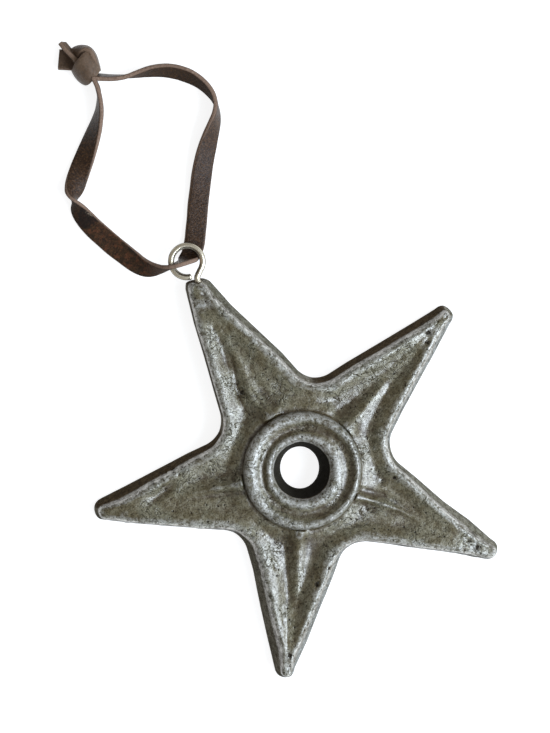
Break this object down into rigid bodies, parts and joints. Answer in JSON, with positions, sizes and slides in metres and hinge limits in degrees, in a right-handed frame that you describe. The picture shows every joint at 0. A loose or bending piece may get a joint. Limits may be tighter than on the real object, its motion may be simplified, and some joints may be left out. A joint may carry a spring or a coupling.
{
  "type": "washer star ornament",
  "caption": "Flat-backed cast metal star with ribbed arms and a raised holed hub, hung from a wire eye in one tip on a knotted flat leather lace.",
  "frame": {"origin": "on the resting plane (the star's flat back), under the middle of the box round the star and its wire eye", "axes": "+Z out of the decorated face; +Y from the star towards the arm with the eye and the lace; +X to the right when the face is looked at with the eye up"},
  "size_m": [0.1144, 0.1838, 0.0116],
  "materials": {
    "cast_metal": "sand-cast, dark in the hollows and worn bright on the ridges",
    "bright_wire": "bright nickel-plated wire",
    "lace_leather": "dull brown leather strip with pale cut edges",
    "knot_leather": "the same leather, pulled tight in the knot"
  },
  "bodies": {
    "star": {"star_casting": "cast_metal", "screw_eye": "bright_wire"},
    "lace": {"lace_loop": "lace_leather", "lace_knot": "knot_leather"}
  },
  "joints": [
    {"name": "lace_swing", "type": "hinge", "parent": "star", "child": "lace", "pos_m": [-0.0001, 0.0549, 0.00375], "axis": [0, 0, 1], "range_deg": [-80, 65]}
  ]
}
